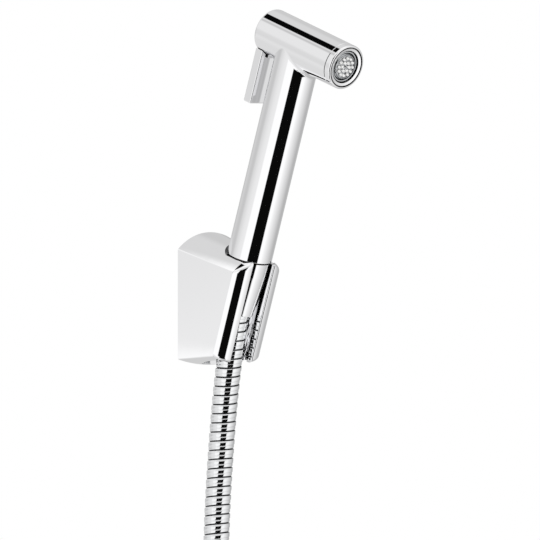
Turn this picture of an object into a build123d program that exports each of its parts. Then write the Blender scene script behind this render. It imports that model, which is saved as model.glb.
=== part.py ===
from build123d import *
from math import cos, pi, radians, sin, sqrt, tan
import os

# Handheld bidet shower resting in its wall holder, in millimetres.
# The wall is the plane Y = 0 and the object stands out from it towards -Y.
# X runs along the wall, Z is up, and the origin is the middle of the holder's wall face.

# Clearances
running_fit = 0.05
bore_fit = 0.1
part_gap = 0.3
loose_gap = 0.5
groove_fit = 0.03
handle_rim_gap = 1.5
foot_seam = 0.8
overrun = 1.0

# Lie of the handset: heights along its handle start from this point of the handle's axis
lean = 19.1
seat_out = 28.5
seat_up = 18.6

# Holder: a wedge from a wide arched wall face to a rounded housing about the handset's axis
holder_half_width = 24.6
holder_half_height = 30.1
holder_top_rise = 9.3
holder_bottom_drop = 3.2
housing_half_width = 17.85
housing_front = 12.5
housing_corner_r = 9.05
housing_bottom = -47.4
housing_shoulder = 1.5
cheek_out = 7.0
housing_edge_r = 2.4
holder_edge_r = 0.9
slot_half_width = 7.85
slot_edge_r = 0.8
channel_r = 11.7
seat_length = 7.0
holder_wall = 2.8
rib_half_width = 6.2
screw_pitch = 32.0
screw_mid_up = 1.0
screw_hole_r = 2.2
screw_head_r = 4.3
screw_seat = 2.4

# Handset casting: a round handle with a round head across its top
handle_r = 12.4
handle_wall = 2.6
handle_foot = 7.8
handle_length = 122.3
head_r = 12.6
head_wall = 2.0
head_back = 24.7
head_front = 33.9
head_back_wall = 1.8
head_back_edge_r = 1.6
joint_line = 0.25
junction_r = 3.2
foot_edge_r = 0.4

# Front ring that screws into the head
ring_length = 4.0
ring_edge_r = 0.9
lip_width = 1.1
lip_groove_width = 0.8
lip_groove_depth = 1.5
bevel_drop = 0.7
ring_bore_r = 9.3
skirt_length = 7.3
ledge_r = 7.9
ledge_length = 1.0

# Spray plate and the silicone mat behind it
plate_r = 8.5
plate_length = 2.4
plate_edge_land = 0.5
dish_depth = 0.8
crown_r = 6.9
crown_width = 0.5
crown_height = 0.5
field_drop = 0.4
clip_pairs = 6
clip_half_width = 0.3
clip_pair_angle = 9.0
clip_drop = 0.5
mat_length = 1.5
mat_r = 8.3
nub_r = 0.85
nub_tip_r = 0.6
nub_height = 1.5
jet_r = 0.25
outer_nubs = 12
outer_nub_circle = 4.9
inner_nubs = 6
inner_nub_circle = 2.5
centre_dimple_r = 0.8

# Valve cartridge in the head, measured ahead of the handle's axis
cartridge_back = -10.0
cartridge_front = 26.5
gland_length = 3.0
chamber_r = 7.6
port_r = 5.5
port_out = 2.5
seat_face = 14.0
seat_disc_length = 3.0
seat_hole_r = 3.8
seat_lip_r = 4.6
seat_lip_height = 0.35
spindle_r = 2.0
poppet_r = 5.6
poppet_length = 2.0
seal_length = 1.2
spindle_neck_r = 1.5
spindle_neck_start = -12.0
button_r = 3.4
button_length = 1.5
valve_spring_r = 4.6
valve_spring_wire = 1.0
valve_spring_turns = 5
rear_oring_out = -8.5
front_oring_out = 22.0
body_oring_r = 0.7
spindle_oring_r = 0.9
oring_side_gap = 0.1

# Trigger lever behind the handle, hinged inside the head
pin_out = -16.0
pin_up = -6.0
pin_r = 1.5
hub_r = 3.0
lever_front = -18.7
lever_thickness = 5.7
lever_half_width = 8.5
lever_tip = -40.2
lever_edge_r = 0.7
lever_head_gap = 0.4
neck_half_width = 4.6
neck_front = -17.6
neck_thickness = 4.6
arm_thickness = 2.8
lobe_r = 2.2
lobe_arm = 6.0
lobe_lead = 4.7
lever_slot_front = -16.0
ear_thickness = 2.5
ear_length = 9.0

# Inlet and non-return valve in the handle's foot
spigot_r = 10.45
spigot_length = 6.0
connector_length = 16.0
connector_bore_r = 7.0
connector_top_length = 2.5
connector_top_bore_r = 5.6
connector_oring_r = 0.9
check_wall = 1.9
check_length = 12.6
check_lip = 0.4
check_seat_length = 1.2
check_seat_hole_r = 3.2
check_poppet_r = 4.3
check_poppet_length = 1.5
check_stem_r = 1.0
check_stem_length = 8.6
check_cap_length = 1.6
check_cap_holes = 4
check_cap_hole_r = 0.9
check_cap_hole_circle = 3.1
check_spring_r = 2.3
check_spring_wire = 0.6
check_spring_turns = 4

# Hose of double-interlock metal, with its end fittings
hose_r = 7.0
hose_bore_r = 4.8
tail_bore_r = 3.2
barb_length = 9.3
washer_length = 2.0
washer_bore_r = 5.5
flange_r = 9.6
flange_length = 1.5
ferrule_wall = 0.75
ferrule_length = 8.0
ferrule_offset = 1.5
cone_nut_r = 11.9
cone_nut_waist_r = 11.5
cone_nut_foot_r = 9.5
cone_nut_waist = 8.0
cone_nut_length = 31.0
cone_nut_edge_r = 0.5
nut_collar_bore_r = 8.2
thread_r = 10.5
end_nut_r = 12.2
end_collar_length = 5.5
end_thread_length = 9.0
end_nut_edge = 0.8
ferrule_end_length = 9.0

# Hose route from its fitting in the cone nut: along the wall, distance from the wall, height
hose_route = [
    (0.0, 27.94, 16.99),
    (0.0, 21.63, -1.25),
    (0.0, 17.5, -18.8),
    (0.0, 14.1, -36.5),
    (0.0, 11.4, -54.3),
    (-0.5, 9.6, -74.2),
    (-2.0, 9.0, -96.2),
    (-3.7, 9.0, -120.2),
    (-4.3, 9.0, -145.0),
    (-13.6, 9.0, -171.1),
    (-31.1, 9.0, -192.6),
    (-54.7, 9.0, -207.0),
    (-72.2, 9.0, -228.5),
    (-81.5, 9.0, -254.6),
    (-81.5, 9.0, -282.3),
]
arc_share = 0.45

# Coil of the spare hose, wound about an axis across the wall, from nine o'clock by way of six
coil_r = 77.0
coil_turns = 1.845
coil_end_out = 43.8
coil_edge_r = 5.5
lower_turn_sweep = 270.0
upper_turn_start = 60.0
tie_angles = (100.0, 215.0)
tie_width = 6.0
tie_thickness = 1.2

# Sizes that follow from the ones above
head_up = handle_foot + handle_length
handle_bore_r = handle_r - handle_wall
head_bore_r = head_r - head_wall
cartridge_r = head_bore_r - bore_fit
chamber_back = cartridge_back + gland_length
lobe_out = pin_out + lobe_arm * sin(radians(lobe_lead))
lobe_up = pin_up + lobe_arm * cos(radians(lobe_lead))
ring_front = head_front + ring_length
ledge_back = ring_front - bevel_drop - plate_length - mat_length - ledge_length - dish_depth
plate_back = ledge_back + ledge_length + mat_length
plate_front = plate_back + plate_length
spigot_foot = handle_foot - spigot_length
flange_top = spigot_foot - washer_length
flange_foot = flange_top - flange_length
cone_nut_top = handle_foot - foot_seam
coil_centre = (hose_route[-1][0] + coil_r, hose_route[-1][2])
coil_start_out = hose_route[-1][1]

# Frames: along the handle's axis, and along the head's axis (X across, Y up, Z ahead)
HANDSET = Location((0, -seat_out, seat_up), (lean, 0, 0))
HEAD = HANDSET * Location((0, 0, head_up), (90, 0, 0))


def rod(radius, low, high):
    """Cylinder about Z."""
    return Pos(0, 0, (low + high) / 2) * Cylinder(radius, high - low)


def tube(outer, inner, low, high):
    """Cylinder about Z with a through bore."""
    return rod(outer, low, high) - rod(inner, low - overrun, high + overrun)


def block(x_span, y_span, z_span):
    """Box between its lowest and highest value along each axis."""
    spans = (x_span, y_span, z_span)
    sizes = [high - low for low, high in spans]
    middle = [(low + high) / 2 for low, high in spans]
    return Pos(*middle) * Box(*sizes)


def turned(*outline):
    """Solid turned about Z from the (radius, height) corners of its half section."""
    return revolve(make_face(Plane.XZ * Polyline(*outline, close=True)), Axis.Z)


def cross_rod(radius, half_length, y, z):
    """Cylinder along X."""
    return Pos(0, y, z) * Rot(0, 90, 0) * Cylinder(radius, 2 * half_length)


def oring(circle_r, section_r, height):
    """Rubber ring about Z."""
    return Pos(0, 0, height) * Torus(circle_r, section_r)


def coil_spring(mean_r, wire, low, high, turns):
    """Round wire wound between two heights."""
    rise = high - low - wire
    path = Pos(0, 0, low + wire / 2) * Helix(rise / turns, rise, mean_r)
    section = Plane(path @ 0, z_dir=path % 0) * Circle(wire / 2)
    return sweep(section, path)


# Holder


def holder_outline(half_width, low, high, rise, drop):
    """Face in XZ with straight sides, an arched top and a bowed bottom."""
    left = Line((-half_width, low), (-half_width, high))
    top = ThreePointArc((-half_width, high), (0, high + rise), (half_width, high))
    right = Line((half_width, high), (half_width, low))
    bottom = ThreePointArc((half_width, low), (0, low - drop), (-half_width, low))
    return make_face(Plane.XZ * (left + top + right + bottom))


def cheek_half_width():
    """Half width of the housing where the wedge's cheeks run into its round corners."""
    behind = cheek_out - housing_front + housing_corner_r
    return housing_half_width - housing_corner_r + sqrt(housing_corner_r**2 - behind**2)


def wedge(inset, front_out):
    """Solid between the wall face and the arched section at front_out, drawn in by inset."""
    rise = holder_top_rise * cos(radians(lean))
    drop = holder_bottom_drop * cos(radians(lean))
    wall_face = holder_outline(
        holder_half_width - inset,
        -holder_half_height + inset,
        holder_half_height - inset,
        holder_top_rise,
        holder_bottom_drop,
    )
    front_face = holder_outline(
        cheek_half_width() - inset,
        housing_bottom + inset,
        housing_shoulder - inset,
        rise,
        drop,
    )
    solid = loft([wall_face, HANDSET * Pos(0, -front_out, 0) * front_face], ruled=True)
    sides = [edge for edge in solid.edges() if abs(edge.position_at(0.5).Y) > holder_edge_r]
    long_edges = [edge for edge in sides if abs(edge.tangent_at(0.5).Y) > cos(pi / 4)]
    return fillet(long_edges, holder_edge_r), front_face


def housing_section():
    """Outline of the housing across the handset's axis."""
    return RectangleRounded(2 * housing_half_width, 2 * housing_front, housing_corner_r)


def round_housing(front_face):
    """Front of the holder: the arched section run forward and rounded about the channel."""
    forward = extrude(Pos(0, -cheek_out, 0) * front_face, amount=housing_front, dir=(0, -1, 0))
    low = Pos(0, 0, 2 * housing_bottom)
    forward = forward & extrude(low * housing_section(), -4 * housing_bottom)
    rims = forward.edges().filter_by(lambda edge: edge.geom_type not in (GeomType.LINE, GeomType.CIRCLE))
    return HANDSET * fillet(rims, housing_edge_r)


def slot_cut():
    """Front slot of the channel, which rounds the outer corners of both lips."""
    reach = 2 * housing_half_width
    lip_reach = slot_half_width + slot_edge_r + part_gap / 2
    front = Pos(0, -reach / 2) * Rectangle(2 * lip_reach, reach)
    lips = front & housing_section()
    lips = lips - Pos(0, -reach / 2) * Rectangle(2 * slot_half_width, reach)
    corners = [corner for corner in lips.vertices() if abs(abs(corner.X) - slot_half_width) < running_fit]
    corners = [corner for corner in corners if corner.Y < -housing_front / 2]
    return Pos(0, 0, housing_bottom - reach) * extrude(front - fillet(corners, slot_edge_r), 3 * reach)


def channel_cut():
    """Space that takes the cone nut, the hose below it and the handle's foot."""
    seat_top_r = cone_nut_r + running_fit
    taper = (cone_nut_r - cone_nut_waist_r) / cone_nut_waist
    seat_foot_r = seat_top_r - taper * seat_length
    seat_low = cone_nut_top - seat_length
    reach = 2 * housing_half_width
    below = rod(channel_r, housing_bottom - reach, seat_low)
    seat = turned((0, seat_low), (seat_foot_r, seat_low), (seat_top_r, cone_nut_top), (0, cone_nut_top))
    rim = rod(handle_r + handle_rim_gap, cone_nut_top - running_fit, handle_foot + reach)
    limit = 3 * holder_half_height
    room = block((-limit, limit), (-limit, -screw_seat), (-limit, limit))
    return (HANDSET * (below + seat + rim + slot_cut())) & room


def holder_pocket():
    """Hollow in the holder's back, on each side of the channel's wall and the screw rib."""
    hollow, _ = wedge(holder_wall, cheek_out - holder_wall)
    reach = 3 * holder_half_height
    channel_wall = HANDSET * rod(channel_r + holder_wall, -reach, reach)
    rib = block((-rib_half_width, rib_half_width), (-reach, reach), (-reach, reach))
    return hollow - channel_wall - rib


def screw_cuts():
    """Two screw holes through the back of the channel, sunk for the screw heads."""
    cuts = []
    for side in (-1, 1):
        up = screw_mid_up + side * screw_pitch / 2
        hole = Pos(0, -seat_out / 2, up) * Rot(90, 0, 0) * Cylinder(screw_hole_r, seat_out + overrun)
        sink_from = Pos(0, -screw_seat - seat_out / 2, up)
        cuts.append(hole + sink_from * Rot(90, 0, 0) * Cylinder(screw_head_r, seat_out))
    return cuts


def bracket_body():
    """Moulded wall holder with its open channel."""
    back, front_face = wedge(0, cheek_out)
    body = back + round_housing(front_face)
    body = body - channel_cut() - holder_pocket()
    for cut in screw_cuts():
        body = body - cut
    return body


# Handset


def handset_body():
    """Casting of handle and head, with the head's bore open to the front."""
    head = rod(head_r, -head_back, head_front)
    head = fillet(head.edges().group_by(Axis.Z)[0], head_back_edge_r)
    head = chamfer(head.edges().group_by(Axis.Z)[-1], joint_line)
    grip = rod(handle_r, -handle_length, 0)
    grip = fillet(grip.edges().group_by(Axis.Z)[0], foot_edge_r)
    outside = head + Rot(-90, 0, 0) * grip
    seam = outside.edges().filter_by(lambda edge: edge.geom_type not in (GeomType.LINE, GeomType.CIRCLE))
    outside = fillet(seam, junction_r)
    waterway = Rot(-90, 0, 0) * rod(handle_bore_r, -handle_length - overrun, 0)
    bore = rod(head_bore_r, head_back_wall - head_back, head_front + overrun)
    slot_half = neck_half_width + loose_gap
    slot_back = neck_front - neck_thickness - loose_gap
    slot = block((-slot_half, slot_half), (-head_r - overrun, 0), (slot_back, lever_slot_front))
    return HEAD * (outside - waterway - bore - slot)


def front_ring():
    """Plated ring with a rounded lip, a fine groove and an inner bevel."""
    skirt_r = cartridge_r
    lip_in = head_r - lip_width
    groove_in = lip_in - lip_groove_width
    bevel_in = ring_front - bevel_drop
    outline = [
        (head_r, head_front + joint_line),
        (head_r, ring_front),
        (lip_in, ring_front),
        (lip_in, ring_front - lip_groove_depth),
        (groove_in, ring_front - lip_groove_depth),
        (groove_in, ring_front - joint_line),
        (ring_bore_r, bevel_in),
        (ring_bore_r, ledge_back + ledge_length),
        (ledge_r, ledge_back + ledge_length),
        (ledge_r, ledge_back),
        (ring_bore_r, ledge_back - ledge_length),
        (ring_bore_r, head_front - skirt_length),
        (skirt_r, head_front - skirt_length),
        (skirt_r, head_front),
        (head_r - joint_line, head_front),
    ]
    ring = turned(*outline)
    rims = ring.edges().filter_by_position(Axis.Z, ring_front, ring_front)
    outer = rims.sort_by(SortBy.RADIUS)[-1]
    return HEAD * fillet(outer, ring_edge_r)


def nub_places():
    """Places of the spray nubs on their two circles."""
    outer = PolarLocations(outer_nub_circle, outer_nubs)
    inner = PolarLocations(inner_nub_circle, inner_nubs)
    return list(outer) + list(inner)


def spray_plate():
    """Dished plate that the nubs stand out of, held in the ring by pairs of clips."""
    field = plate_front + crown_height - field_drop
    dish_low = plate_front - dish_depth
    dish_r = (plate_r + crown_r) / 2
    plate = turned(
        (0, plate_back),
        (plate_r, plate_back),
        (plate_r, plate_front),
        (plate_r - plate_edge_land, plate_front),
        (dish_r, dish_low),
        (crown_r, plate_front + crown_height - crown_width),
        (crown_r - crown_width / 2, plate_front + crown_height),
        (crown_r - crown_width, plate_front + crown_height),
        (crown_r - crown_width, field),
        (centre_dimple_r, field),
        (0, field - centre_dimple_r),
    )
    clip_reach = ring_bore_r - running_fit
    clip = block(
        (plate_r - plate_edge_land, clip_reach - groove_fit),
        (-clip_half_width, clip_half_width),
        (plate_back, plate_front - clip_drop),
    )
    for pair in range(clip_pairs):
        for side in (-1, 1):
            plate = plate + Rot(0, 0, pair * 360 / clip_pairs + side * clip_pair_angle / 2) * clip
    hole = rod(nub_r + running_fit, plate_back - overrun, plate_front + overrun)
    for place in nub_places():
        plate = plate - place * hole
    return HEAD * plate


def nozzle_mat():
    """Silicone mat with a soft nub and a fine jet at each hole of the plate."""
    mat = rod(mat_r, plate_back - mat_length, plate_back)
    field = plate_front + crown_height - field_drop
    tip = field + nub_height
    root = plate_back - joint_line
    nub = turned((0, root), (nub_r, root), (nub_r, field), (nub_tip_r, tip), (0, tip))
    jet = rod(jet_r, plate_back - mat_length - overrun, tip + overrun)
    for place in nub_places():
        mat = mat + place * nub
    for place in nub_places():
        mat = mat - place * jet
    return HEAD * mat


def face_seal():
    """Rubber ring round the mat, at the foot of the gap about the plate."""
    return HEAD * tube(ring_bore_r - running_fit, mat_r + running_fit, plate_back - mat_length, plate_back)


def valve_body():
    """Cartridge with the valve chamber, a gland for the spindle and ears for the lever's pin."""
    body = rod(cartridge_r, cartridge_back, cartridge_front)
    body = body - rod(chamber_r, chamber_back, cartridge_front + overrun)
    body = body - rod(spindle_r + running_fit, cartridge_back - overrun, chamber_back + overrun)
    gland_mid = (cartridge_back + chamber_back) / 2
    groove_half = spindle_oring_r + oring_side_gap
    gland_r = spindle_r + 2 * (spindle_oring_r + groove_fit)
    body = body - rod(gland_r, gland_mid - groove_half, gland_mid + groove_half)
    ring_half = body_oring_r + oring_side_gap
    for out in (rear_oring_out, front_oring_out):
        groove_r = head_bore_r - 2 * (body_oring_r + groove_fit)
        body = body - tube(head_r, groove_r, out - ring_half, out + ring_half)
    port = Pos(0, -head_r / 2, port_out) * Rot(90, 0, 0) * Cylinder(port_r, head_r)
    body = body - port
    ear_in = neck_half_width + loose_gap
    for side in (-1, 1):
        x_span = sorted((side * ear_in, side * (ear_in + ear_thickness)))
        ear = block(x_span, (pin_up - hub_r, pin_up + hub_r), (cartridge_back - ear_length, cartridge_back))
        body = body + (ear & rod(cartridge_r, cartridge_back - ear_length, cartridge_back))
    pin_hole = cross_rod(pin_r + groove_fit, head_r, pin_up, pin_out)
    return HEAD * (body - pin_hole)


def body_orings():
    """Rubber rings that seal the cartridge in the head's bore."""
    circle_r = head_bore_r - groove_fit - body_oring_r
    return HEAD * Compound([oring(circle_r, body_oring_r, out) for out in (rear_oring_out, front_oring_out)])


def valve_seat():
    """Brass seat disc pressed into the chamber, with a raised lip."""
    return HEAD * turned(
        (seat_hole_r, seat_face - seat_lip_height),
        (seat_lip_r, seat_face - seat_lip_height),
        (seat_lip_r, seat_face),
        (chamber_r - running_fit, seat_face),
        (chamber_r - running_fit, seat_face + seat_disc_length),
        (seat_hole_r, seat_face + seat_disc_length),
    )


def seal_front():
    """Place of the valve seal's face, just behind the seat's lip."""
    return seat_face - seat_lip_height - running_fit


def valve_spindle():
    """Spindle with its poppet in front and the button that the lever pulls behind."""
    seal_back = seal_front() - seal_length
    poppet_back = seal_back - poppet_length
    button_front = lobe_out - lobe_r - part_gap
    return HEAD * turned(
        (0, button_front - button_length),
        (button_r, button_front - button_length),
        (button_r, button_front),
        (spindle_neck_r, button_front),
        (spindle_neck_r, spindle_neck_start),
        (spindle_r, spindle_neck_start),
        (spindle_r, poppet_back),
        (poppet_r, poppet_back),
        (poppet_r, seal_back),
        (spindle_neck_r, seal_back),
        (spindle_neck_r, seal_front() - groove_fit),
        (0, seal_front() - groove_fit),
    )


def valve_seal():
    """Rubber washer on the poppet's face."""
    seal_back = seal_front() - seal_length
    return HEAD * tube(poppet_r - oring_side_gap, spindle_neck_r + groove_fit, seal_back, seal_front())


def spindle_oring():
    """Rubber ring in the gland, round the spindle."""
    gland_mid = (cartridge_back + chamber_back) / 2
    return HEAD * oring(spindle_r + groove_fit + spindle_oring_r, spindle_oring_r, gland_mid)


def valve_spring():
    """Spring between the gland and the poppet."""
    poppet_back = seal_front() - seal_length - poppet_length
    spring = coil_spring(
        valve_spring_r,
        valve_spring_wire,
        chamber_back + running_fit,
        poppet_back - running_fit,
        valve_spring_turns,
    )
    return HEAD * spring


def lever():
    """Trigger lever: a flat paddle, and a neck into the head with two lobes for the spindle."""
    back = lever_front - lever_thickness
    paddle = block((-lever_half_width, lever_half_width), (lever_tip, -head_r / 2), (back, lever_front))
    corners = paddle.edges().filter_by(Axis.Y) + paddle.faces().sort_by(Axis.Y)[0].edges()
    paddle = fillet(corners, lever_edge_r)
    paddle = paddle - rod(head_r + lever_head_gap, back - overrun, lever_front + overrun)
    neck_low = -head_r - lever_head_gap - loose_gap
    neck_x = (-neck_half_width, neck_half_width)
    neck = block(neck_x, (neck_low, pin_up), (neck_front - neck_thickness, neck_front))
    hub = cross_rod(hub_r, neck_half_width, pin_up, pin_out)
    arm = block(neck_x, (pin_up, lobe_up), (pin_out - arm_thickness / 2, pin_out + arm_thickness / 2))
    lobe = cross_rod(lobe_r, neck_half_width, lobe_up, lobe_out)
    fork_half = spindle_neck_r + part_gap
    fork = block(
        (-fork_half, fork_half),
        (-spindle_neck_r - 2 * part_gap, lobe_r + overrun),
        (pin_out - lobe_r - overrun, lobe_out + lobe_r + overrun),
    )
    bore = cross_rod(pin_r + running_fit, head_r, pin_up, pin_out)
    return HEAD * (paddle + neck + hub + arm + lobe - fork - bore)


def lever_pin():
    """Steel hinge pin, held in the cartridge's ears."""
    half_length = neck_half_width + loose_gap + ear_thickness - running_fit
    return HEAD * cross_rod(pin_r, half_length, pin_up, pin_out)


# Inlet


def inlet_connector():
    """Brass connector with the threaded spigot that the cone nut screws onto."""
    top = handle_foot + connector_length
    body = turned(
        (connector_bore_r, spigot_foot),
        (spigot_r, spigot_foot),
        (spigot_r, handle_foot),
        (handle_bore_r - running_fit, handle_foot),
        (handle_bore_r - running_fit, top),
        (connector_top_bore_r, top),
        (connector_top_bore_r, top - connector_top_length),
        (connector_bore_r, top - connector_top_length),
    )
    mid = handle_foot + connector_length / 2
    half = connector_oring_r + oring_side_gap
    groove_r = handle_bore_r - 2 * (connector_oring_r + groove_fit)
    return HANDSET * (body - tube(handle_r, groove_r, mid - half, mid + half))


def connector_oring():
    """Rubber ring that seals the connector in the handle."""
    mid = handle_foot + connector_length / 2
    return HANDSET * oring(handle_bore_r - groove_fit - connector_oring_r, connector_oring_r, mid)


def check_foot():
    """Height of the non-return cartridge's lower end, just inside the spigot."""
    return spigot_foot + check_lip


def check_seat_top():
    """Height that the non-return poppet rests at."""
    return check_foot() + check_seat_length


def check_valve_body():
    """Sleeve of the non-return cartridge with its seat."""
    outer = connector_bore_r - running_fit
    inner = outer - check_wall
    foot = check_foot()
    return HANDSET * turned(
        (check_seat_hole_r, foot),
        (outer, foot),
        (outer, foot + check_length),
        (inner, foot + check_length),
        (inner, check_seat_top()),
        (check_seat_hole_r, check_seat_top()),
    )


def check_valve_cap():
    """Cross-drilled cap that guides the poppet's stem."""
    top = check_foot() + check_length
    cap_r = connector_bore_r - running_fit - check_wall - groove_fit
    cap = tube(cap_r, check_stem_r + running_fit, top - check_cap_length, top)
    for place in PolarLocations(check_cap_hole_circle, check_cap_holes):
        cap = cap - place * rod(check_cap_hole_r, top - check_cap_length - overrun, top + overrun)
    return HANDSET * cap


def check_valve_poppet():
    """Poppet that lifts with the flow and closes against backflow."""
    low = check_seat_top() + running_fit
    return HANDSET * turned(
        (0, low),
        (check_poppet_r, low),
        (check_poppet_r, low + check_poppet_length),
        (check_stem_r, low + check_poppet_length),
        (check_stem_r, low + check_poppet_length + check_stem_length),
        (0, low + check_poppet_length + check_stem_length),
    )


def check_valve_spring():
    """Light spring between the poppet and the cap."""
    low = check_seat_top() + check_poppet_length + 2 * running_fit
    high = check_foot() + check_length - check_cap_length - running_fit
    return HANDSET * coil_spring(check_spring_r, check_spring_wire, low, high, check_spring_turns)


# Hose and fittings


def hose_washer_top():
    """Rubber washer between the spigot and the hose's flange."""
    return HANDSET * tube(flange_r, washer_bore_r, flange_top, spigot_foot)


def hose_tail(flange_back, barb):
    """Brass tail with a flange above flange_back and a barb of the given length below it."""
    flange_face = flange_back + flange_length
    barb_end = flange_back - barb
    return turned(
        (tail_bore_r, flange_face),
        (flange_r, flange_face),
        (flange_r, flange_back),
        (hose_bore_r - running_fit, flange_back),
        (hose_bore_r - running_fit, barb_end),
        (tail_bore_r, barb_end),
    )


def hose_tail_top():
    """Tail that carries the hose at the handset."""
    return HANDSET * hose_tail(flange_foot, barb_length)


def hose_ferrule_top():
    """Sleeve crimped over the hose inside the cone nut."""
    inner = hose_r + running_fit
    top = flange_foot - ferrule_offset
    return HANDSET * tube(inner + ferrule_wall, inner, top - ferrule_length, top)


def hose_cone_nut():
    """Plated cone nut that joins the hose to the handset and seats in the holder."""
    foot = cone_nut_top - cone_nut_length
    nut = turned(
        (thread_r, cone_nut_top),
        (cone_nut_r, cone_nut_top),
        (cone_nut_waist_r, cone_nut_top - cone_nut_waist),
        (cone_nut_foot_r, foot),
        (nut_collar_bore_r, foot),
        (nut_collar_bore_r, flange_foot),
        (flange_r + part_gap, flange_foot),
        (flange_r + part_gap, spigot_foot),
        (thread_r, spigot_foot),
    )
    lower_rim = nut.edges().filter_by_position(Axis.Z, foot, foot).sort_by(SortBy.RADIUS)[-1]
    return HANDSET * fillet(lower_rim, cone_nut_edge_r)


def corner_radii(points):
    """Largest even arc for each corner of a route."""
    radii = []
    for before, corner, after in zip(points, points[1:], points[2:]):
        run_in = corner - before
        run_out = after - corner
        half_turn = radians(run_in.get_angle(run_out) / 2)
        radii.append(arc_share * min(run_in.length, run_out.length) / tan(half_turn))
    return radii


def hose():
    """Hose from the cone nut to the coil, as a plain tube along straight runs and arcs."""
    points = [Vector(x, -out, up) for x, out, up in hose_route]
    radii = corner_radii(points)
    print("hose arc radii:", [round(radius, 1) for radius in radii])
    path = FilletPolyline(*points, radius=radii)
    mouth = Plane(points[0], z_dir=points[1] - points[0])
    body = sweep(mouth * Circle(hose_r), path) - sweep(mouth * Circle(hose_bore_r), path)
    expected = pi * (hose_r**2 - hose_bore_r**2) * path.length
    print("hose length:", round(path.length, 1), "volume share:", round(body.volume / expected, 4))
    return body


def coil_frame(angle, out):
    """Frame on the coil's circle: X outward from its centre, Y away from the wall, Z along the hose."""
    turn = radians(angle)
    outward = Vector(-cos(turn), 0, -sin(turn))
    along = Vector(sin(turn), 0, -cos(turn))
    centre = Vector(coil_centre[0], -out, coil_centre[1])
    return Plane(centre + coil_r * outward, x_dir=outward, z_dir=along)


def coil_block(start, sweep_angle, low, high):
    """Part of the coil's outer shape, between two distances from the wall."""
    frame = coil_frame(start, (low + high) / 2)
    section = frame * RectangleRounded(2 * hose_r, high - low, coil_edge_r)
    axis = Axis((coil_centre[0], 0, coil_centre[1]), (0, -1, 0))
    return revolve(section, axis, sweep_angle)


def hose_coil():
    """Outer shape of the tied coil that holds the spare hose."""
    end_angle = (coil_turns % 1) * 360
    first_top = coil_start_out + hose_r + running_fit + part_gap
    second_top = coil_end_out - end_nut_r - part_gap
    coil = coil_block(0, lower_turn_sweep, coil_start_out - hose_r, first_top + coil_edge_r)
    coil = coil + coil_block(0, 360, first_top, second_top)
    upper_sweep = end_angle - upper_turn_start
    return coil + coil_block(upper_turn_start, upper_sweep, second_top - coil_edge_r, coil_end_out + hose_r)


def end_place():
    """Frame at the hose's far end, Z along the hose."""
    return coil_frame((coil_turns % 1) * 360, coil_end_out).location


def hose_ferrule_end():
    """Sleeve crimped over the hose's far end."""
    inner = hose_r + running_fit
    return end_place() * tube(inner + ferrule_wall, inner, 0, ferrule_end_length)


def hose_tail_end():
    """Tail that carries the hose at its far end."""
    return end_place() * hose_tail(ferrule_end_length, ferrule_end_length - part_gap)


def hose_end_nut():
    """Plated union nut at the far end."""
    collar = ferrule_end_length - running_fit
    start = collar - end_collar_length
    thread_start = ferrule_end_length + flange_length + washer_length
    mouth = thread_start + end_thread_length
    nut = turned(
        (nut_collar_bore_r, start),
        (end_nut_r - end_nut_edge, start),
        (end_nut_r, start + end_nut_edge),
        (end_nut_r, mouth),
        (thread_r, mouth),
        (thread_r, thread_start),
        (flange_r + part_gap, thread_start),
        (flange_r + part_gap, collar),
        (nut_collar_bore_r, collar),
    )
    return end_place() * nut


def hose_washer_end():
    """Rubber washer in the far nut."""
    face = ferrule_end_length + flange_length
    return end_place() * tube(flange_r, washer_bore_r, face, face + washer_length)


def coil_ties():
    """Two straps round the coil's section."""
    low = coil_start_out - hose_r
    high = coil_end_out + hose_r
    ties = []
    for angle in tie_angles:
        frame = coil_frame(angle, (low + high) / 2)
        inner = RectangleRounded(2 * (hose_r + part_gap), high - low + 2 * part_gap, coil_edge_r)
        grown = 2 * (part_gap + tie_thickness)
        outer = RectangleRounded(2 * hose_r + grown, high - low + grown, coil_edge_r + tie_thickness)
        ties.append(extrude(frame * (outer - inner), amount=tie_width / 2, both=True))
    return Compound(ties)


os.makedirs("parts", exist_ok=True)
pieces = [
    bracket_body,
    handset_body,
    front_ring,
    spray_plate,
    nozzle_mat,
    face_seal,
    valve_body,
    body_orings,
    valve_seat,
    valve_spindle,
    valve_seal,
    spindle_oring,
    valve_spring,
    lever,
    lever_pin,
    inlet_connector,
    connector_oring,
    check_valve_body,
    check_valve_cap,
    check_valve_poppet,
    check_valve_spring,
    hose_washer_top,
    hose_tail_top,
    hose_ferrule_top,
    hose_cone_nut,
    hose,
    hose_coil,
    hose_ferrule_end,
    hose_tail_end,
    hose_end_nut,
    hose_washer_end,
    coil_ties,
]
for piece in pieces:
    export_step(piece(), f"parts/{piece.__name__}.step")
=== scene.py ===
from math import ceil, cos, pi, radians, sin

import bpy
from mathutils import Matrix, Vector


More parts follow.
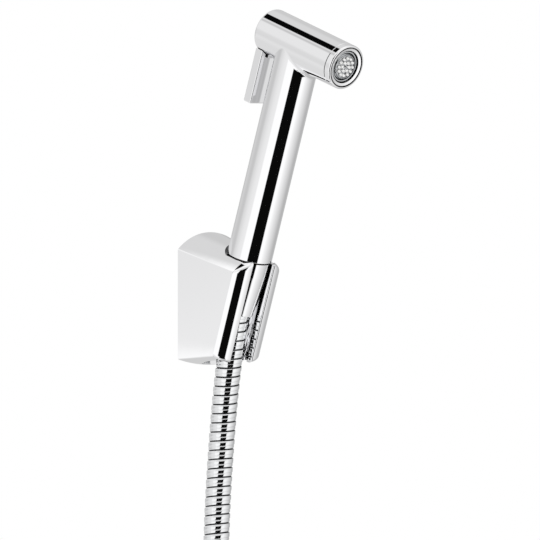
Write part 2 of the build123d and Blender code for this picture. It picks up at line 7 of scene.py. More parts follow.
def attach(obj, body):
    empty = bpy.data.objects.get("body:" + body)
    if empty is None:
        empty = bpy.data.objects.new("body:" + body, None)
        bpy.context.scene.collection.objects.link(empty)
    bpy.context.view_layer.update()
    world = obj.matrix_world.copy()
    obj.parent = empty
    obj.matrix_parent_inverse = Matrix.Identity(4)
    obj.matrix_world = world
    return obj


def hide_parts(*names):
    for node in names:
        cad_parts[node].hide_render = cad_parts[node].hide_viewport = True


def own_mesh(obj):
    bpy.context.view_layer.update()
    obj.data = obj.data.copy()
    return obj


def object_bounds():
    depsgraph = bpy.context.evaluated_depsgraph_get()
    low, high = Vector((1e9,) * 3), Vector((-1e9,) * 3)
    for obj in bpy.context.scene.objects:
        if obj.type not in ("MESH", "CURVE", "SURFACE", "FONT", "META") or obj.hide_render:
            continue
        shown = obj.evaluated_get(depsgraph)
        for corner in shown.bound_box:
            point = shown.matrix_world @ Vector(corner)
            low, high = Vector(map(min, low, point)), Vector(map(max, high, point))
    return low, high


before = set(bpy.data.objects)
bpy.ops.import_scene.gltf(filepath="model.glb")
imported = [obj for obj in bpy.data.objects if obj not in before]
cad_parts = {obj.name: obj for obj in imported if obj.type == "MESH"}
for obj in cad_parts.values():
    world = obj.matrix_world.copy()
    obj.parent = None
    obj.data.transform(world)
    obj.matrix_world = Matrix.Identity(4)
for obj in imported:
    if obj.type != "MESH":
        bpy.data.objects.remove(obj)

cad_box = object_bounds()

# Lengths are in metres, or in millimetres where a number is multiplied by MM. +X runs along the
# wall, the object stands out from the wall towards -Y, and +Z is up.
MM = 0.001

# The handset's own frame: its foot point, up along the handle, and ahead along the head
LEAN = radians(19.1)
SEAT = Vector((0, -28.5, 18.6)) * MM
HEAD_UP = 130.1
HANDSET = Matrix.Translation(SEAT) @ Matrix.Rotation(LEAN, 4, "X")
HEAD = HANDSET @ Matrix.Translation((0, 0, HEAD_UP * MM)) @ Matrix.Rotation(radians(90), 4, "X")

# The hose's route as in the part's source, in millimetres: along the wall, off the wall, height
HOSE_ROUTE = [
    (0.0, 27.94, 16.99),
    (0.0, 21.63, -1.25),
    (0.0, 17.5, -18.8),
    (0.0, 14.1, -36.5),
    (0.0, 11.4, -54.3),
    (-0.5, 9.6, -74.2),
    (-2.0, 9.0, -96.2),
    (-3.7, 9.0, -120.2),
    (-4.3, 9.0, -145.0),
    (-13.6, 9.0, -171.1),
    (-31.1, 9.0, -192.6),
    (-54.7, 9.0, -207.0),
    (-72.2, 9.0, -228.5),
    (-81.5, 9.0, -254.6),
    (-81.5, 9.0, -282.3),
]
HOSE_PITCH = 5.1
COIL_CENTRE = (-4.5, -282.3)
COIL_RADIUS = 77.0
COIL_TURNS = 1.845
COIL_POINTS_A_TURN = 16
COIL_OUT_START = 9.0
COIL_OUT_SECOND = 25.0
COIL_OUT_END = 43.8


def srgb(code):
    """Linear RGBA from an sRGB hex colour."""
    channels = [int(code[i:i + 2], 16) / 255 for i in (1, 3, 5)]
    linear = [c / 12.92 if c <= 0.04045 else ((c + 0.055) / 1.055) ** 2.4 for c in channels]
    return (*linear, 1.0)


def node(tree, kind, inputs=(), **settings):
    """A shader node with its settings, and its inputs by name or in order.

    An input is a value, an output, or a node, which stands for its first output.
    """
    made = tree.nodes.new(kind)
    for name, value in settings.items():
        setattr(made, name, value)
    for key, value in inputs.items() if isinstance(inputs, dict) else enumerate(inputs):
        source = value.outputs[0] if isinstance(value, bpy.types.Node) else value
        if isinstance(source, bpy.types.NodeSocket):
            tree.links.new(source, made.inputs[key])
        else:
            made.inputs[key].default_value = source
    return made


def heading(azimuth, elevation=0.0):
    """Direction at an azimuth and an elevation in degrees."""
    around, rise = radians(azimuth), radians(elevation)
    return Vector((sin(around) * cos(rise), -cos(around) * cos(rise), sin(rise)))


def sideways(azimuth):
    """Level direction to the right of a camera that stands at an azimuth in degrees."""
    return Vector((cos(radians(azimuth)), sin(radians(azimuth)), 0))


# Camera: degrees round the object and up, metres away, and millimetres for its lens and sensor
CAMERA_AZIMUTH = -44.0
CAMERA_ELEVATION = 0.4
CAMERA_DISTANCE = 8
CAMERA_LENS = 972.7
CAMERA_SENSOR = 36
# How far right of the origin and above it the camera aims, in millimetres
AIM_RIGHT = 32.75
AIM_UP = 18.64


def make_camera():
    """Long lens at the photograph's angle, with the origin where it lies in the picture."""
    right = sideways(CAMERA_AZIMUTH)
    toward = heading(CAMERA_AZIMUTH, CAMERA_ELEVATION)
    up = toward.cross(right)
    target = right * AIM_RIGHT * MM + up * AIM_UP * MM
    camera = bpy.data.objects.new("camera", bpy.data.cameras.new("camera"))
    bpy.context.scene.collection.objects.link(camera)
    bpy.context.scene.camera = camera
    camera.data.lens = CAMERA_LENS
    camera.data.sensor_width = CAMERA_SENSOR
    camera.location = target + toward * CAMERA_DISTANCE
    camera.rotation_mode = "QUATERNION"
    camera.rotation_quaternion = toward.to_track_quat("Z", "Y")
    camera.data.clip_start = 0.05
    camera.data.clip_end = 100


make_camera()

# Hose


def coil_out(turn):
    """Distance from the wall after so many turns of the coil."""
    if turn <= 1:
        return COIL_OUT_START + (COIL_OUT_SECOND - COIL_OUT_START) * turn
    return COIL_OUT_SECOND + (COIL_OUT_END - COIL_OUT_SECOND) * (turn - 1) / (COIL_TURNS - 1)


def coil_points():
    """Control points of the coil's turns, just outside the circle that the hose then follows."""
    step = 1 / COIL_POINTS_A_TURN
    radius = COIL_RADIUS / cos(pi * step)
    count = ceil(COIL_TURNS / step)
    points = []
    for i in range(1, count + 1):
        turn = min(i * step, COIL_TURNS)
        angle = 2 * pi * turn
        reach = COIL_RADIUS if turn == COIL_TURNS else radius
        points.append((
            COIL_CENTRE[0] - reach * cos(angle),
            coil_out(turn),
            COIL_CENTRE[1] - reach * sin(angle),
        ))
    return points


def smooth_line(points):
    """Points read from the quadratic spline that the route's points control."""
    curve = bpy.data.curves.new("route", "CURVE")
    curve.dimensions = "3D"
    curve.resolution_u = 12
    spline = curve.splines.new("NURBS")
    spline.points.add(len(points) - 1)
    for slot, (x, out, up) in zip(spline.points, points):
        slot.co = (x * MM, -out * MM, up * MM, 1)
    spline.order_u = 3
    spline.use_endpoint_u = True
    holder = bpy.data.objects.new("route", curve)
    mesh = bpy.data.meshes.new_from_object(holder)
    line = [vertex.co.copy() for vertex in mesh.vertices]
    bpy.data.objects.remove(holder)
    bpy.data.meshes.remove(mesh)
    return line


class Line:
    """A line with a frame that doesn't twist, read by distance along it."""

    def __init__(self, points):
        self.points = points
        self.steps = [0.0]
        for before, after in zip(points, points[1:]):
            self.steps.append(self.steps[-1] + (after - before).length)
        self.length = self.steps[-1]
        self.tangents = []
        for i in range(len(points)):
            before = points[max(i - 1, 0)]
            after = points[min(i + 1, len(points) - 1)]
            self.tangents.append((after - before).normalized())
        side = Vector((1, 0, 0))
        self.sides = []
        for tangent in self.tangents:
            side = (side - side.dot(tangent) * tangent).normalized()
            self.sides.append(side)
        self.place = 0

    def at(self, distance):
        """Centre, side and third direction at a distance along the line."""
        distance = min(max(distance, 0.0), self.length)
        i = self.place
        while i > 0 and self.steps[i] > distance:
            i -= 1
        while i < len(self.steps) - 2 and self.steps[i + 1] < distance:
            i += 1
        self.place = i
        share = (distance - self.steps[i]) / (self.steps[i + 1] - self.steps[i])
        centre = self.points[i].lerp(self.points[i + 1], share)
        tangent = self.tangents[i].lerp(self.tangents[i + 1], share).normalized()
        side = self.sides[i].lerp(self.sides[i + 1], share)
        side = (side - side.dot(tangent) * tangent).normalized()
        return centre, side, tangent.cross(side)


def piece(name, vertices, faces, material, smooth=True):
    """Mesh object with one material."""
    mesh = bpy.data.meshes.new(name)
    mesh.from_pydata(vertices, [], faces)
    mesh.validate()
    if smooth:
        mesh.shade_smooth()
    mesh.materials.append(material)
    made = bpy.data.objects.new(name, mesh)
    bpy.context.scene.collection.objects.link(made)
    return made


# One pitch of the interlocked strip: distance along and radius, from the groove over the wide band
STRIP = [
    (0.00, 6.35),
    (0.35, 6.40),
    (0.46, 6.95),
    (0.64, 7.09),
    (2.66, 7.10),
    (2.95, 6.98),
    (3.08, 6.78),
    (3.20, 6.86),
    (4.50, 6.86),
    (4.78, 6.74),
]
GROOVE_BANDS = (0, 1, 9)
HOSE_SIDES = 38


def interlocked_hose(line, outside, groove_shade):
    """The strip wound right-handed along the whole line, its grooves in their own material with
    painted shade.
    """
    rings = int((line.length / MM) / HOSE_PITCH * len(STRIP))
    vertices = []
    for k in range(-len(STRIP), rings + 1):
        turn, band = divmod(k, len(STRIP))
        along, radius = STRIP[band]
        for j in range(HOSE_SIDES):
            share = j / HOSE_SIDES
            centre, side, third = line.at((HOSE_PITCH * (turn + share) + along) * MM)
            angle = 2 * pi * share
            vertices.append(centre + (cos(angle) * side + sin(angle) * third) * radius * MM)
    faces = []
    slots = []
    total = rings + 1 + len(STRIP)
    for k in range(total - 1):
        slot = int(k % len(STRIP) in GROOVE_BANDS)
        for j in range(HOSE_SIDES):
            a = k * HOSE_SIDES + j
            if j < HOSE_SIDES - 1:
                faces.append((a, a + 1, a + HOSE_SIDES + 1, a + HOSE_SIDES))
                slots.append(slot)
            elif k + len(STRIP) + 1 < total:
                b = (k + len(STRIP)) * HOSE_SIDES
                faces.append((a, b, b + HOSE_SIDES, a + HOSE_SIDES))
                slots.append(slot)
    made = piece("hose_interlocked", vertices, faces, outside)
    made.data.materials.append(groove_shade)
    made.data.polygons.foreach_set("material_index", slots)
    return made


# The end nut and the straps


def loft(rings, closed=False):
    """Vertices and faces of a skin over rings of points, its ends filled or joined together."""
    count = len(rings[0])
    vertices = [point for ring in rings for point in ring]
    faces = []
    for k in range(len(rings) if closed else len(rings) - 1):
        low = k * count
        high = (k + 1) % len(rings) * count
        for j in range(count):
            after = (j + 1) % count
            faces.append((low + j, low + after, high + after, high + j))
    if not closed:
        last = len(vertices) - count
        faces.append(tuple(reversed(range(count))))
        faces.append(tuple(range(last, last + count)))
    return vertices, faces


def gathered(parts):
    """Several skins as one."""
    vertices = []
    faces = []
    for more_vertices, more_faces in parts:
        start = len(vertices)
        vertices.extend(more_vertices)
        faces.extend(tuple(start + i for i in face) for face in more_faces)
    return vertices, faces


def coil_place(angle, out):
    """Point on the coil's middle circle, with the directions outward, off the wall and along."""
    turn = radians(angle)
    outward = Vector((-cos(turn), 0, -sin(turn)))
    along = Vector((sin(turn), 0, -cos(turn)))
    centre = Vector((COIL_CENTRE[0], -out, COIL_CENTRE[1])) + COIL_RADIUS * outward
    return centre, outward, Vector((0, -1, 0)), along


# Profile of the far nut: distance from the hose's cut end, radius, and depth of the flutes there
END_NUT = [
    (3.5, 7.9, 0.0),
    (3.5, 11.0, 0.0),
    (3.7, 11.4, 0.0),
    (4.2, 11.9, 0.0),
    (5.6, 12.1, 0.0),
    (6.2, 12.2, 0.7),
    (18.6, 12.2, 0.7),
    (19.2, 12.1, 0.0),
    (21.4, 12.1, 0.0),
    (22.0, 11.6, 0.0),
    (22.0, 10.9, 0.0),
    (21.6, 10.5, 0.0),
    (13.0, 10.5, 0.0),
    (12.9, 9.8, 0.0),
    (9.0, 9.8, 0.0),
    (8.9, 7.9, 0.0),
]
NUT_FLUTES = 20
NUT_SIDES = 160


def fluted_nut(material):
    """Union nut at the far end, with a fluted grip for the fingers between two plain rims."""
    centre, outward, off, along = coil_place(360 * COIL_TURNS, COIL_OUT_END)
    rings = []
    for distance, radius, depth in END_NUT:
        ring = []
        for i in range(NUT_SIDES):
            angle = 2 * pi * i / NUT_SIDES
            reach = radius - depth * (0.5 - 0.5 * cos(NUT_FLUTES * angle)) ** 2
            spoke = cos(angle) * outward + sin(angle) * off
            ring.append((centre + distance * along + reach * spoke) * MM)
        rings.append(ring)
    made = piece("end_nut_fluted", *loft(rings, closed=True), material)
    made.data.set_sharp_from_angle(angle=radians(35))
    return made


STRAP_ANGLES = (100.0, 215.0)
STRAP_BORE = 7.3
STRAP_STEPS = 24
# Half of the strap's section: height over the hose and half width
STRAP_SECTION = [(0.0, 2.7), (0.25, 3.0), (0.95, 3.0), (1.2, 2.7)]
# The locking head: places along it with what it loses there, then its section
LOCK_ENDS = [(-3.6, 0.6), (-3.0, 0.0), (3.0, 0.0), (3.6, 0.6)]
LOCK_LOW = 0.1
LOCK_HIGH = 5.2
LOCK_HALF_WIDTH = 4.4
LOCK_CORNER = 0.7
# The cut tail: its sections, a millimetre apart, where it starts, its height and its curl, and its
# width as a share of the strap's
TAIL_SECTIONS = 9
TAIL_START = 2.0
TAIL_HEIGHT = 2.4
TAIL_CURL = 0.02
TAIL_WIDTH = 0.82


def strap_ring(foot, lift, across, scale=1.0):
    """Section of the strap at a foot point."""
    upper = [foot + height * lift + half * scale * across for height, half in STRAP_SECTION]
    back = reversed(STRAP_SECTION)
    lower = [foot + height * lift - half * scale * across for height, half in back]
    return [point * MM for point in upper + lower]


def head_ring(foot, lift, across, low, high, half):
    """Rounded rectangle across the strap's head."""
    corners = [
        (low, half - LOCK_CORNER),
        (low + LOCK_CORNER, half),
        (high - LOCK_CORNER, half),
        (high, half - LOCK_CORNER),
        (high, LOCK_CORNER - half),
        (high - LOCK_CORNER, -half),
        (low + LOCK_CORNER, -half),
        (low, LOCK_CORNER - half),
    ]
    return [(foot + height * lift + side * across) * MM for height, side in corners]


def strap(angle):
    """Strap round both turns of the hose, its locking head inside the coil and its cut tail."""
    inner = coil_out(angle / 360)
    outer = coil_out(angle / 360 + 1)
    centre, outward, off, along = coil_place(angle, 0.0)
    rings = []
    for out, start in ((outer, 0.0), (inner, pi)):
        for i in range(STRAP_STEPS + 1):
            turn = start + pi * i / STRAP_STEPS
            lift = cos(turn) * outward + sin(turn) * off
            rings.append(strap_ring(centre + out * off + STRAP_BORE * lift, lift, along))
    middle = centre + (inner + outer) / 2 * off - STRAP_BORE * outward
    head = []
    for place, trim in LOCK_ENDS:
        foot = middle + place * off
        high, half = LOCK_HIGH - trim, LOCK_HALF_WIDTH - trim
        head.append(head_ring(foot, -outward, along, LOCK_LOW, high, half))
    tail = []
    for i in range(TAIL_SECTIONS):
        place = TAIL_START + i
        lift = -outward
        foot = middle + place * off + (TAIL_HEIGHT + TAIL_CURL * place ** 2) * lift
        tail.append(strap_ring(foot, lift, along, TAIL_WIDTH))
    return gathered([loft(rings, closed=True), loft(head), loft(tail)])


def straps(material):
    """The two straps that keep the spare hose coiled."""
    made = piece("coil_straps", *gathered([strap(angle) for angle in STRAP_ANGLES]), material)
    made.data.set_sharp_from_angle(angle=radians(40))
    return made


# The springs

SPRING_STEPS = 28
WIRE_SIDES = 10


def wound_spring(name, place, mean_radius, wire, low, high, turns, material):
    """Round wire wound between two heights on a place's Z axis, each end turn laid flat."""
    pitch = (high - low - 3 * wire) / (turns - 2)
    rings = []
    for k in range(SPRING_STEPS * turns + 1):
        turn = k / SPRING_STEPS
        flat = min(turn, 1) + max(turn - (turns - 1), 0)
        height = low + wire / 2 + wire * flat + pitch * (turn - flat)
        angle = 2 * pi * turn
        ring = []
        for j in range(WIRE_SIDES):
            side = 2 * pi * j / WIRE_SIDES
            reach = mean_radius + wire / 2 * cos(side)
            point = Vector((reach * cos(angle), reach * sin(angle), height + wire / 2 * sin(side)))
            ring.append(place @ (point * MM))
        rings.append(ring)
    return piece(name, *loft(rings), material)


# Materials


def principled(name, **values):
    """Material with a Principled shader, its tree and the shader."""
    material = bpy.data.materials.new(name)
    material.use_nodes = True
    tree = material.node_tree
    shader = tree.nodes["Principled BSDF"]
    for key, value in values.items():
        shader.inputs[key.replace("_", " ")].default_value = value
    return material, tree, shader


def grain(tree, shader, size, detail=2.0, rough=None, relief=None):
    """Marks of a size in millimetres that spread the roughness or stand proud by a height."""
    place = node(tree, "ShaderNodeTexCoord").outputs["Object"]
    settings = {"Vector": place, "Scale": 1 / (size * MM), "Detail": detail}
    marks = node(tree, "ShaderNodeTexNoise", settings).outputs["Fac"]
    if rough:
        low, high = rough
        spread = node(tree, "ShaderNodeMapRange", {"Value": marks, "To Min": low, "To Max": high})
        tree.links.new(spread.outputs["Result"], shader.inputs["Roughness"])
    if relief:
        settings = {"Height": marks, "Strength": 1.0, "Distance": relief * MM}
        raised = node(tree, "ShaderNodeBump", settings)
        tree.links.new(raised.outputs["Normal"], shader.inputs["Normal"])


def painted_gap_shade(tree, shader, code, reach, closed=0.25, clear=0.62, depth="#0B0B0C"):
    """A surface's colour, with painted shade: it turns to the colour depth in gaps about as deep
    as reach.
    """
    openness = node(tree, "ShaderNodeAmbientOcclusion", {"Distance": reach * MM}, samples=12)
    settings = {"Value": openness.outputs["AO"], "From Min": closed, "From Max": clear}
    share = node(tree, "ShaderNodeMapRange", settings)
    settings = {"Fac": share, "Color1": srgb(depth), "Color2": srgb(code)}
    shade = node(tree, "ShaderNodeMixRGB", settings)
    tree.links.new(shade.outputs["Color"], shader.inputs["Base Color"])


def plated_chrome(name, wave=14.0, depth=0.003, reach=2.0):
    """Polished chrome plate: a mirror with faint long waves and a breath of water marks, and
    painted shade in its gaps.
    """
    material, tree, shader = principled(name, Metallic=1.0)
    # Painted shade: the plate turns near black in gaps about as deep as reach
    painted_gap_shade(tree, shader, "#F9F9FA", reach, closed=0.3, clear=0.7)
    grain(tree, shader, 9.0, detail=3.0, rough=(0.01, 0.04))
    grain(tree, shader, wave, detail=1.0, relief=depth)
    return material


def plated_strip():
    """Plated interlocked strip: rolled bright, with an uneven shine that softens the mirror."""
    material, tree, shader = principled("plated_interlock_strip", Metallic=1.0)
    shader.inputs["Base Color"].default_value = srgb("#F2F3F4")
    # Coarser than the real rolling marks, so that they show
    grain(tree, shader, 1.2, rough=(0.03, 0.09))
    return material


def painted_groove_shade():
    """The same strip deep in its grooves: dull, and dark grey with painted shade."""
    material, tree, shader = principled("strip_groove_painted_shade", Metallic=1.0, Roughness=0.45)
    # Painted shade: dark grey stands in for the shade deep in the grooves
    shader.inputs["Base Color"].default_value = srgb("#3A3B3D")
    # Coarser than the real grain of the strip, so that it shows
    grain(tree, shader, 0.4, relief=0.01)
    return material


def moulded_silicone():
    """Milky liquid silicone with a satin skin, with painted shade at the roots of its nubs."""
    material, tree, shader = principled("moulded_silicone", Roughness=0.42, IOR=1.41)
    # Painted shade: near black between the nubs and at their roots
    painted_gap_shade(tree, shader, "#FFFFFE", 1.5, closed=0.46, clear=0.66, depth="#0A0A0B")
    # Coarser than the real grain of the mould, so that it shows
    grain(tree, shader, 0.5, relief=0.01)
    return material


def moulded_rubber():
    """Black EPDM seals: dull, with the grain of the mould."""
    material, tree, shader = principled("moulded_rubber", Roughness=0.6, IOR=1.5)
    shader.inputs["Base Color"].default_value = srgb("#1B1B1C")
    # Coarser than the real grain of the mould, so that it shows
    grain(tree, shader, 0.4, relief=0.02)
    return material


def moulded_acetal():
    """White acetal of the valve cartridges: smooth, slightly waxy."""
    material, tree, shader = principled("moulded_acetal", Roughness=0.3, IOR=1.48)
    shader.inputs["Base Color"].default_value = srgb("#E4E3DE")
    grain(tree, shader, 1.5, relief=0.01)
    return material


def satin_plate():
    """Satin chrome of the spray plate: a fine grain under the plating softens the mirror, and
    painted shade darkens its gaps.
    """
    material, tree, shader = principled("satin_chrome_on_abs", Roughness=0.24, Metallic=1.0)
    # Painted shade: the plate turns near black in its gaps
    painted_gap_shade(tree, shader, "#D2D4D6", 3.0, clear=0.75)
    # Coarser than the real spark-eroded grain, so that it shows
    grain(tree, shader, 0.35, relief=0.01)
    return material


def turned_brass():
    """Bare turned brass: warm, with an uneven shine, a faint relief from the tool, and painted
    shade in its gaps.
    """
    material, tree, shader = principled("turned_brass", Metallic=1.0)
    # Painted shade: the brass turns dark brown in its gaps
    painted_gap_shade(tree, shader, "#D9B66B", 3.0, closed=0.35, clear=0.8, depth="#14110B")
    grain(tree, shader, 0.8, detail=3.0, rough=(0.18, 0.3), relief=0.004)
    return material


def drawn_steel():
    """Drawn stainless wire and pressed sleeves: bright grey with a soft uneven shine."""
    material, tree, shader = principled("drawn_stainless", Metallic=1.0)
    shader.inputs["Base Color"].default_value = srgb("#C9CBCD")
    grain(tree, shader, 0.6, rough=(0.14, 0.26))
    return material


def moulded_nylon():
    """Natural nylon straps: off-white and satin, not quite flat from the mould."""
    material, tree, shader = principled("moulded_nylon", Roughness=0.35, IOR=1.53)
    shader.inputs["Base Color"].default_value = srgb("#E9E9E4")
    grain(tree, shader, 1.0, relief=0.02)
    return material


chrome = plated_chrome("chrome_on_brass")
# Plate on moulded ABS: longer and deeper waves, so its reflections bend more than on metal
moulding = plated_chrome("chrome_on_abs", wave=22.0, depth=0.008, reach=2.4)
strip = plated_strip()
groove_shade = painted_groove_shade()
silicone = moulded_silicone()
rubber = moulded_rubber()
acetal = moulded_acetal()
satin = satin_plate()
brass = turned_brass()
steel = drawn_steel()
nylon = moulded_nylon()

# Every node that shows as it was built, by its finish
FINISHES = {
    moulding: ["bracket_body"],
    chrome: ["handset_body", "front_ring", "lever", "hose_cone_nut"],
    satin: ["spray_plate"],
    silicone: ["nozzle_mat"],
    rubber: [
        # The face seal is a black ring put in the gap round the nozzle mat to stand in for the
        # gap's shade: painted shade
        "face_seal",
        "body_orings",
        "valve_seal",
        "spindle_oring",
        "connector_oring",
        "hose_washer_top",
        "hose_washer_end",
    ],
    acetal: ["valve_body", "check_valve_body", "check_valve_cap", "check_valve_poppet"],
    brass: ["valve_seat", "valve_spindle", "inlet_connector", "hose_tail_top", "hose_tail_end"],
    steel: ["lever_pin", "hose_ferrule_top", "hose_ferrule_end"],
}
for material, names in FINISHES.items():
    for name in names:
        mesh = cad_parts[name].data
        mesh.materials.clear()
        mesh.materials.append(material)

# Springs: each is squeezed toward its fixed end as far as its joint draws the other end

valve_spring = wound_spring(
    "valve_spring_wound",
    HEAD,
    mean_radius=4.6,
    wire=1.0,
    low=-6.95,
    high=10.35,
    turns=7,
    material=steel,
)
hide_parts("valve_spring")
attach(valve_spring, "root")
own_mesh(valve_spring)

check_spring = wound_spring(
    "check_spring_wound",
    HANDSET,
    mean_radius=2.3,
    wire=0.6,
    low=5.0,
    high=13.15,
    turns=6,
    material=steel,
)
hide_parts("check_valve_spring")
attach(check_spring, "root")
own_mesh(check_spring)

# The hose itself, and what is on it

line = Line(smooth_line(HOSE_ROUTE + coil_points()))
hose = interlocked_hose(line, strip, groove_shade)
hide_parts("hose", "hose_coil")
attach(hose, "root")
end_nut = fluted_nut(chrome)
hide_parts("hose_end_nut")
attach(end_nut, "end_nut")
ties = straps(nylon)
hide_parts("coil_ties")
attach(ties, "root")

# Stage and light

# Brightness of the tent's walls by azimuth in degrees: the lens stands at -44, and 180 is the
# wall that holds the object
WALLS = [
    (-180, 0.74),
    (-153, 0.74),
    (-137, 0.82),
    (-118, 0.85),
    (-99, 0.87),
    (-94, 1.05),
    (18, 1.05),
    (27, 0.95),
    (47, 0.79),
    (69, 0.63),
    (81, 0.53),
    (96, 0.46),
    (124, 0.60),
    (158, 0.70),
    (180, 0.74),
]
# The same at about the lens's own height, where the tent's open side behind the object darkens
# the outlines
BELT = [
    (-180, 0.66),
    (-166, 0.61),
    (-154, 0.58),
    (-145, 0.62),
    (-137, 0.72),
    (-118, 0.80),
    (-99, 0.87),
    (-94, 1.05),
    (18, 1.05),
    (27, 0.95),
    (47, 0.79),
    (69, 0.63),
    (96, 0.44),
    (136, 0.48),
    (180, 0.66),
]
BRIGHTEST = 1.05
# The belt at the lens's height, in degrees: its middle, and how far off it is full and gone
BELT_MIDDLE = 3
BELT_FULL = 3
BELT_GONE = 14
# The white side's fade: its azimuth, the cosines off it between which it sets in, the elevation
# up to which it grows, and the most that it takes
FADE_AZIMUTH = -38
FADE_COSINES = (0.35, 0.75)
FADE_TOP = 35
FADE_MOST = 0.3
# The ceiling: its dim side's azimuth, the cosines off it between which it dims, its level there,
# and the elevations between which it takes over from the walls
CEILING_AZIMUTH = 136
CEILING_COSINES = (-0.25, 0.15)
CEILING_DIM = 0.71
CEILING_START = 40
CEILING_FULL = 58
# Dark cards, which give the chrome its black tones: azimuth, elevation, half width, half height,
# turn and softness of the edge in degrees, and the share of the light that each takes
FLAGS = [
    (-30.5, -14, 25.5, 30, 0, 1, 0.997),
    (-28, -58.5, 20, 17, 0, 1, 0.997),
    (202.6, 63.7, 10.6, 5, -30, 1, 0.997),
    (226, 48.7, 3, 5, -30, 3, 0.3),
]
# What matt pieces see all round
ROOM_LEVEL = 0.85
SOFT_STEP = {"interpolation_type": "SMOOTHSTEP"}


def tent_level(tree, share, levels):
    """Brightness by azimuth, from a table of azimuths and levels."""
    graded = node(tree, "ShaderNodeValToRGB", {"Fac": share})
    elements = graded.color_ramp.elements
    for i, (azimuth, level) in enumerate(levels):
        place = (azimuth + 180) / 360
        if i < len(elements):
            elements[i].position = place
        element = elements[i] if i < len(elements) else elements.new(place)
        element.color = (level / BRIGHTEST,) * 3 + (1,)
    return node(tree, "ShaderNodeMath", (graded, BRIGHTEST), operation="MULTIPLY")


def flag(tree, direction, azimuth, elevation, half_width, half_height, turn, soft, strength):
    """What a dark card in a direction leaves of the light."""
    middle = heading(azimuth, elevation)
    across = sideways(azimuth)
    roll = Matrix.Rotation(radians(turn), 3, middle)
    ahead = node(tree, "ShaderNodeVectorMath", (direction, middle), operation="DOT_PRODUCT")
    limits = (ahead.outputs["Value"], 0.0, 0.01, 0.0, strength)
    share = node(tree, "ShaderNodeMapRange", limits, **SOFT_STEP)
    for axis, half in ((roll @ across, half_width), (roll @ middle.cross(across), half_height)):
        edge, blur = sin(radians(half)), sin(radians(soft))
        offset = node(tree, "ShaderNodeVectorMath", (direction, axis), operation="DOT_PRODUCT")
        beside = node(tree, "ShaderNodeMath", (offset.outputs["Value"],), operation="ABSOLUTE")
        limits = (beside, edge - blur, edge + blur, 1.0, 0.0)
        inside = node(tree, "ShaderNodeMapRange", limits, **SOFT_STEP)
        share = node(tree, "ShaderNodeMath", (share, inside), operation="MULTIPLY")
    return node(tree, "ShaderNodeMath", (1.0, share), operation="SUBTRACT")


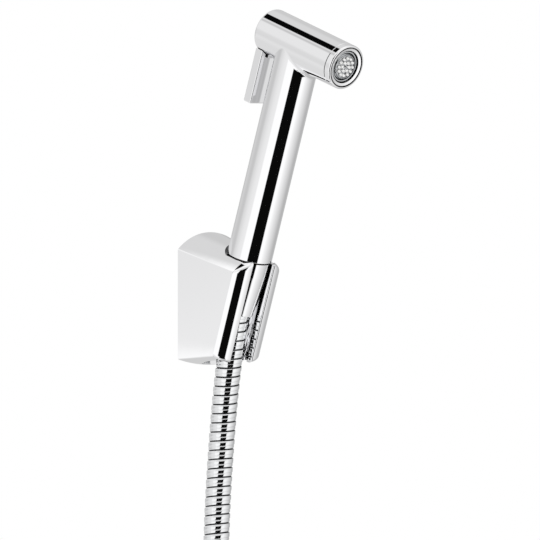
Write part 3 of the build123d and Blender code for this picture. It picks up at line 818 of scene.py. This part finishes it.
def studio_world():
    """Light tent with dark cards for mirrors, an even room for matt pieces, white for the lens."""
    world = bpy.data.worlds.new("light_tent")
    bpy.context.scene.world = world
    world.use_nodes = True
    tree = world.node_tree
    tree.nodes.clear()
    direction = node(tree, "ShaderNodeTexCoord").outputs["Generated"]
    x, y, z = node(tree, "ShaderNodeSeparateXYZ", {"Vector": direction}).outputs

    # The direction's azimuth, as a share of the full turn from -180 to 180
    ahead = node(tree, "ShaderNodeMath", (y, -1.0), operation="MULTIPLY")
    around = node(tree, "ShaderNodeMath", (x, ahead), operation="ARCTAN2")
    turns = node(tree, "ShaderNodeMath", (around, 2 * pi), operation="DIVIDE")
    share = node(tree, "ShaderNodeMath", (turns, 0.5), operation="ADD")

    # The walls, and the belt across them
    above = node(tree, "ShaderNodeMath", (z, sin(radians(BELT_MIDDLE))), operation="SUBTRACT")
    height = node(tree, "ShaderNodeMath", (above,), operation="ABSOLUTE")
    limits = (height, sin(radians(BELT_FULL)), sin(radians(BELT_GONE)), 1.0, 0.0)
    belted = node(tree, "ShaderNodeMapRange", limits, **SOFT_STEP)
    levels = [tent_level(tree, share, table) for table in (WALLS, BELT)]
    tent = node(tree, "ShaderNodeMix", {"Factor": belted, "A": levels[0], "B": levels[1]})

    # The white side fades a little upward, which gives round pieces a tone from other sides too
    inputs = (direction, heading(FADE_AZIMUTH))
    front = node(tree, "ShaderNodeVectorMath", inputs, operation="DOT_PRODUCT")
    limits = (front.outputs["Value"], *FADE_COSINES, 0.0, 1.0)
    facing = node(tree, "ShaderNodeMapRange", limits, **SOFT_STEP)
    limits = (z, 0.0, sin(radians(FADE_TOP)), 0.0, FADE_MOST)
    upward = node(tree, "ShaderNodeMapRange", limits, **SOFT_STEP)
    faded = node(tree, "ShaderNodeMath", (facing, upward), operation="MULTIPLY")
    kept = node(tree, "ShaderNodeMath", (1.0, faded), operation="SUBTRACT")
    tent = node(tree, "ShaderNodeMath", (tent, kept), operation="MULTIPLY")

    # The ceiling, dimmer away from the lens
    inputs = (direction, heading(CEILING_AZIMUTH))
    away = node(tree, "ShaderNodeVectorMath", inputs, operation="DOT_PRODUCT")
    limits = (away.outputs["Value"], *CEILING_COSINES, BRIGHTEST, CEILING_DIM)
    ceiling = node(tree, "ShaderNodeMapRange", limits, **SOFT_STEP)
    limits = (z, sin(radians(CEILING_START)), sin(radians(CEILING_FULL)), 0.0, 1.0)
    overhead = node(tree, "ShaderNodeMapRange", limits, **SOFT_STEP)
    tent = node(tree, "ShaderNodeMix", {"Factor": overhead, "A": tent, "B": ceiling})

    for card in FLAGS:
        left = flag(tree, direction, *card)
        tent = node(tree, "ShaderNodeMath", (tent, left), operation="MULTIPLY")

    # The tent for reflections, the room for matt pieces, and plain white for the lens
    path = node(tree, "ShaderNodeLightPath").outputs
    inputs = {"Factor": path["Is Glossy Ray"], "A": ROOM_LEVEL, "B": tent}
    lighting = node(tree, "ShaderNodeMix", inputs)
    rays = (path["Is Camera Ray"], path["Is Transmission Ray"])
    seen = node(tree, "ShaderNodeMath", rays, operation="MAXIMUM")
    level = node(tree, "ShaderNodeMix", {"Factor": seen, "A": lighting, "B": 1.0})
    inputs = {"Color": srgb("#FFFFFF"), "Strength": level}
    background = node(tree, "ShaderNodeBackground", inputs)
    node(tree, "ShaderNodeOutputWorld", {"Surface": background})


# The floor's half side, and how far below the object it lies, in metres
FLOOR_HALF = 1.3
FLOOR_DROP = 0.36


def make_floor():
    """Plain pale floor well below the object."""
    material, _, shader = principled("floor_paint", Roughness=0.7)
    shader.inputs["Base Color"].default_value = srgb("#F4F4F4")
    low = cad_box[0].z - FLOOR_DROP
    signs = [(-1, -1), (1, -1), (1, 1), (-1, 1)]
    corners = [(across * FLOOR_HALF, deep * FLOOR_HALF, low) for across, deep in signs]
    floor = piece("floor", corners, [(0, 1, 2, 3)], material, smooth=False)
    floor.visible_glossy = False


# The lamp's place and width in metres, and its power in watts
LAMP_PLACE = (-1.3, -1.8, 0.5)
LAMP_WIDTH = 1.2
LAMP_POWER = 15


def make_lamp():
    """Large soft lamp in front and to the left, for the shapes of the matt pieces."""
    lamp = bpy.data.lights.new("soft_lamp", "AREA")
    lamp.shape = "DISK"
    lamp.size = LAMP_WIDTH
    lamp.energy = LAMP_POWER
    made = bpy.data.objects.new("soft_lamp", lamp)
    bpy.context.scene.collection.objects.link(made)
    made.location = LAMP_PLACE
    made.rotation_mode = "QUATERNION"
    made.rotation_quaternion = made.location.to_track_quat("Z", "Y")
    made.visible_glossy = False


studio_world()
make_floor()
make_lamp()
bpy.context.scene.view_settings.view_transform = "Standard"
